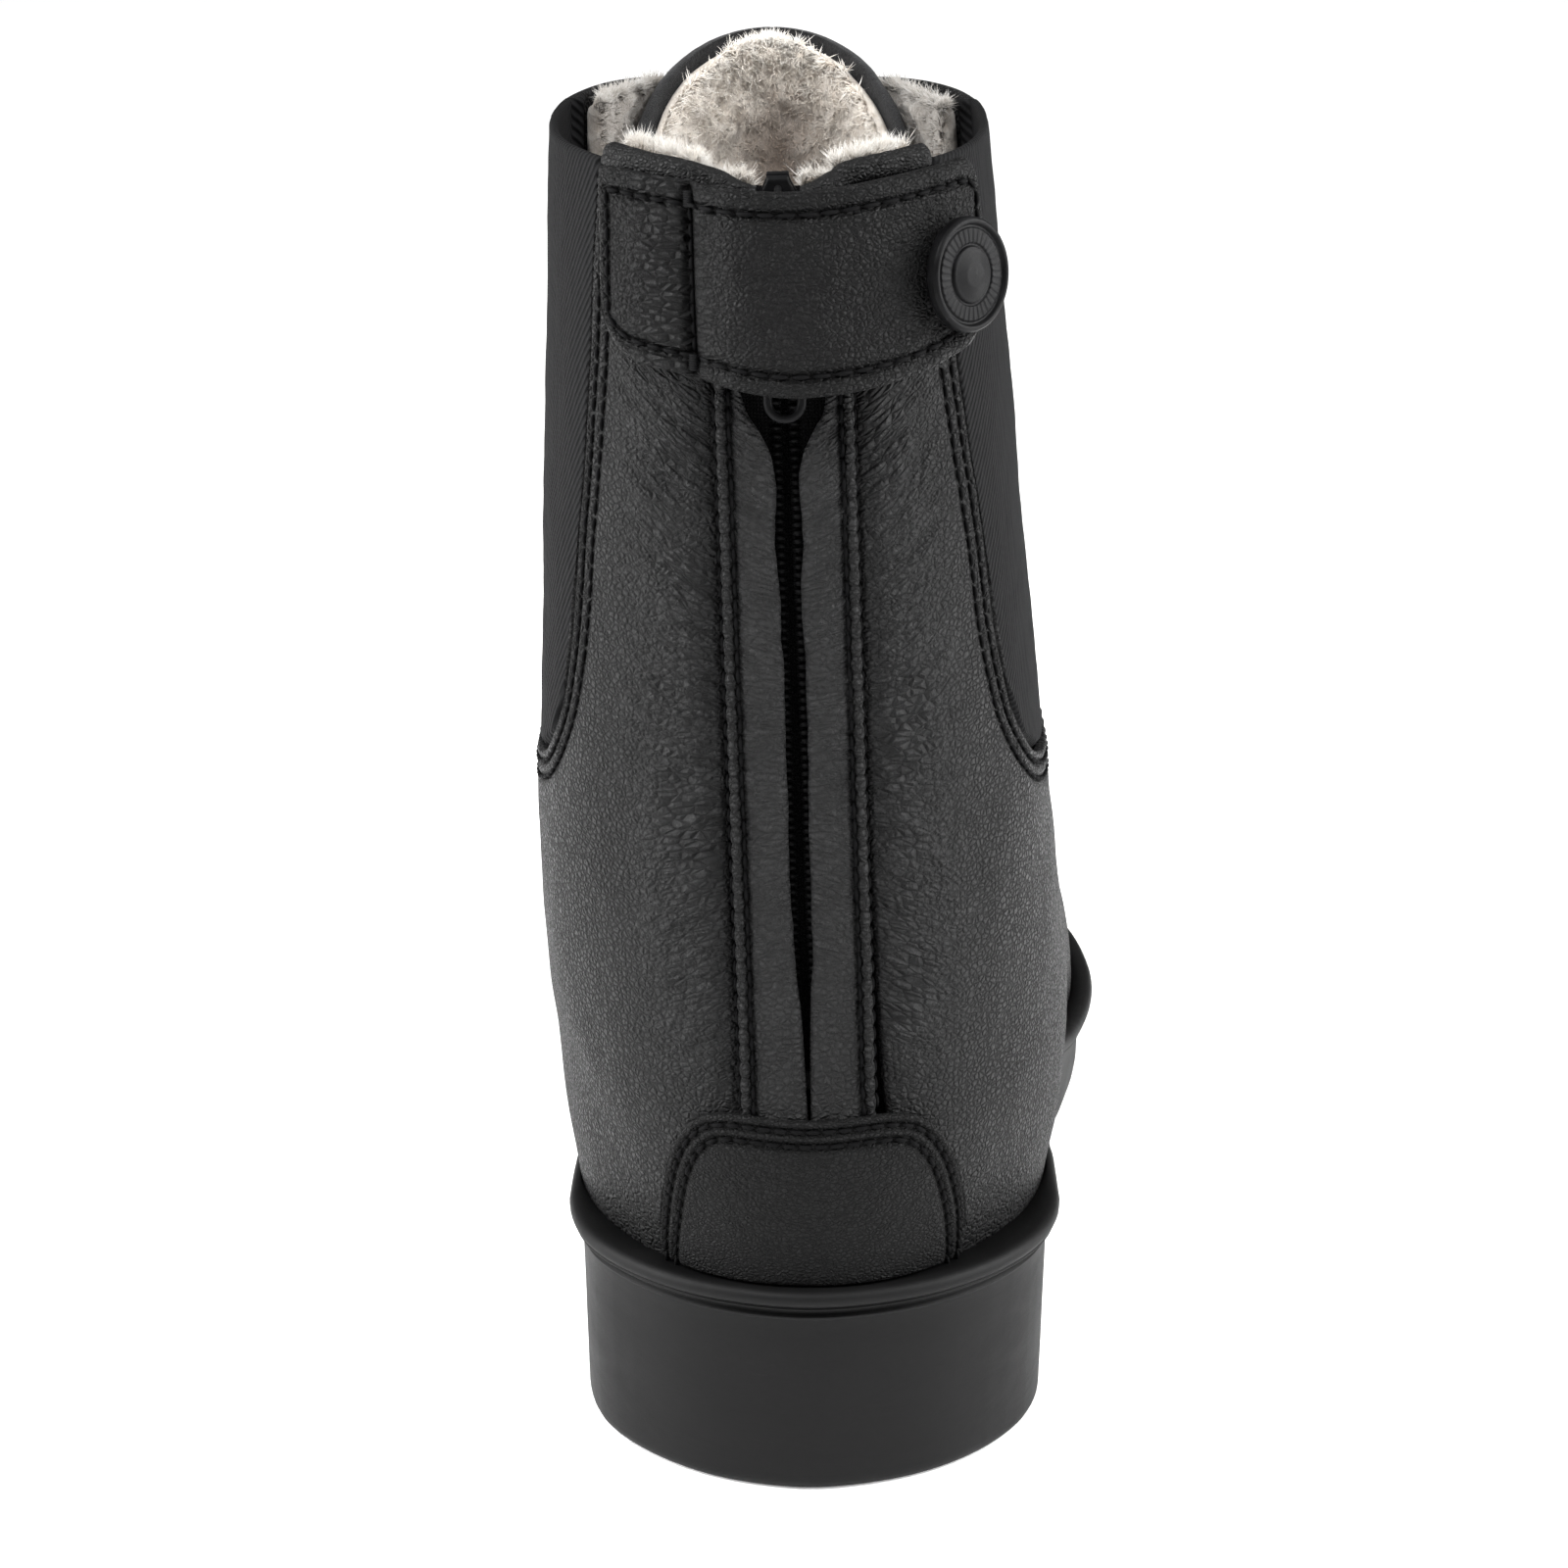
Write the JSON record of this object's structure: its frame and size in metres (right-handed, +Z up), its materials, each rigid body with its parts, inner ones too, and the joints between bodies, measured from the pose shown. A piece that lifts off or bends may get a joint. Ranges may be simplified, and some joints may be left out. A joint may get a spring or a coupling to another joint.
{
  "type": "riding ankle boot",
  "caption": "Right winter riding ankle boot: leather upper, back zip under a snap strap, elastic side gussets, tongue and eyelet front, fleece lining, welted rubber sole with block heel.",
  "frame": {"origin": "on the ground under the middle of the heel", "axes": "+X outer (lateral) side, +Y toe, +Z up"},
  "size_m": [0.1027, 0.289, 0.2056],
  "materials": {
    "leather": "fine pebbled full grain, satin",
    "binding_leather": "smooth rolled binding, satin",
    "rubber": "smooth moulded, satin",
    "elastic": "ribbed elastic webbing, matte",
    "fleece": "short wool pile, matte",
    "felt": "matte felt",
    "zip_tape": "woven tape, matte",
    "zip_plastic": "moulded coil, semi-matte",
    "dark_metal": "blackened, satin",
    "insole_board": "fibre board, matte",
    "shank_steel": "plain"
  },
  "bodies": {
    "boot": {"outsole": "rubber", "welt": "rubber", "insole_board": "insole_board", "shank": "shank_steel", "footbed": "fleece", "quarter_medial": "leather", "quarter_lateral": "leather", "gusset_medial": "elastic", "gusset_lateral": "elastic", "facing_medial": "leather", "facing_lateral": "leather", "lining_quarter_medial": "fleece", "lining_quarter_lateral": "fleece", "lining_facing_medial": "fleece", "lining_facing_lateral": "fleece", "vamp": "leather", "toe_cap": "leather", "lining_vamp": "fleece", "lining_toe": "fleece", "toe_puff": "felt", "heel_counter": "felt", "heel_patch": "leather", "collar_binding_medial": "binding_leather", "collar_binding_lateral": "binding_leather", "zip_guard_medial": "leather", "zip_guard_lateral": "leather", "zip_tape_medial": "zip_tape", "zip_tape_lateral": "zip_tape", "zip_teeth_medial": "zip_plastic", "zip_teeth_lateral": "zip_plastic", "zip_bottom_stop": "dark_metal", "strap_anchor": "leather", "snap_stud": "dark_metal", "eyelet_medial_1": "dark_metal", "eyelet_medial_2": "dark_metal", "eyelet_medial_3": "dark_metal", "eyelet_medial_4": "dark_metal", "eyelet_medial_5": "dark_metal", "eyelet_lateral_1": "dark_metal", "eyelet_lateral_2": "dark_metal", "eyelet_lateral_3": "dark_metal", "eyelet_lateral_4": "dark_metal", "eyelet_lateral_5": "dark_metal"},
    "strap": {"strap": "leather", "snap_cap": "dark_metal", "snap_socket": "dark_metal"},
    "slider": {"zip_slider": "dark_metal"},
    "pull": {"zip_pull": "dark_metal"},
    "tongue": {"tongue": "felt", "tongue_lining": "fleece"}
  },
  "joints": [
    {"name": "strap_swing", "type": "hinge", "parent": "boot", "child": "strap", "pos_m": [-0.01616, -0.03531, 0.16845], "axis": [0.036, -0.0686, -0.997], "range_deg": [0, 110]},
    {"name": "zip_slide", "type": "slide", "parent": "boot", "child": "slider", "axis": [0.0345, -0.0632, -0.9974], "range_m": [0, 0.098]},
    {"name": "zip_pull_swing", "type": "hinge", "parent": "slider", "child": "pull", "pos_m": [-0.00448, -0.03374, 0.19157], "axis": [-0.9994, -0.0022, -0.0344], "range_deg": [0, 5]},
    {"name": "tongue_tilt", "type": "hinge", "parent": "boot", "child": "tongue", "pos_m": [-0.0016, 0.078, 0.0875], "axis": [1, 0, 0], "range_deg": [0, 14]}
  ]
}
